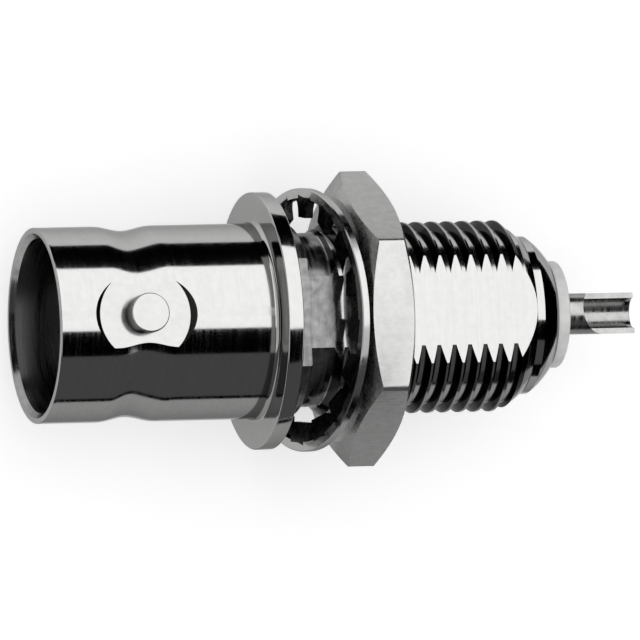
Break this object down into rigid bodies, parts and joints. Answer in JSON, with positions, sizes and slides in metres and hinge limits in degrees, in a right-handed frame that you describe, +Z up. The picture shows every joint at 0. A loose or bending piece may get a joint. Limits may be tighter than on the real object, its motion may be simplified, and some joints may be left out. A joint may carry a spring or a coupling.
{
  "type": "bnc connector",
  "caption": "Coaxial bayonet panel socket with a flanged, flat-sided threaded shank, loose lock washer, hex nut and open solder cup.",
  "frame": {"origin": "on the connector's axis, in the plane of the back face of the flange, where the panel seats", "axes": "+X along the axis from the mating mouth towards the cable, +Z up from the flat that the nut lies on"},
  "size_m": [0.0308, 0.0146, 0.0129],
  "materials": {
    "plated_body": "bright nickel plating on turned brass",
    "white_insulator": "turned white fluoropolymer",
    "plated_contact": "satin plating on a turned copper alloy",
    "plated_washer": "plated stamped sheet",
    "plated_nut": "satin nickel plating over drawn flats"
  },
  "bodies": {
    "connector": {"body": "plated_body", "insulator": "white_insulator", "contact": "plated_contact"},
    "washer": {"lock_washer": "plated_washer"},
    "nut": {"hex_nut": "plated_nut"}
  },
  "joints": [
    {"name": "nut_travel", "type": "slide", "parent": "connector", "child": "washer", "axis": [1, 0, 0], "range_m": [0, 0.00714]},
    {"name": "nut_turn", "type": "hinge", "parent": "washer", "child": "nut", "pos_m": [0.0046, 0, 0], "axis": [1, 0, 0], "range_deg": [0, 3240]}
  ],
  "couplings": [
    {"joint": "nut_turn", "follows": "nut_travel", "rad_per_m": 7915.8}
  ]
}
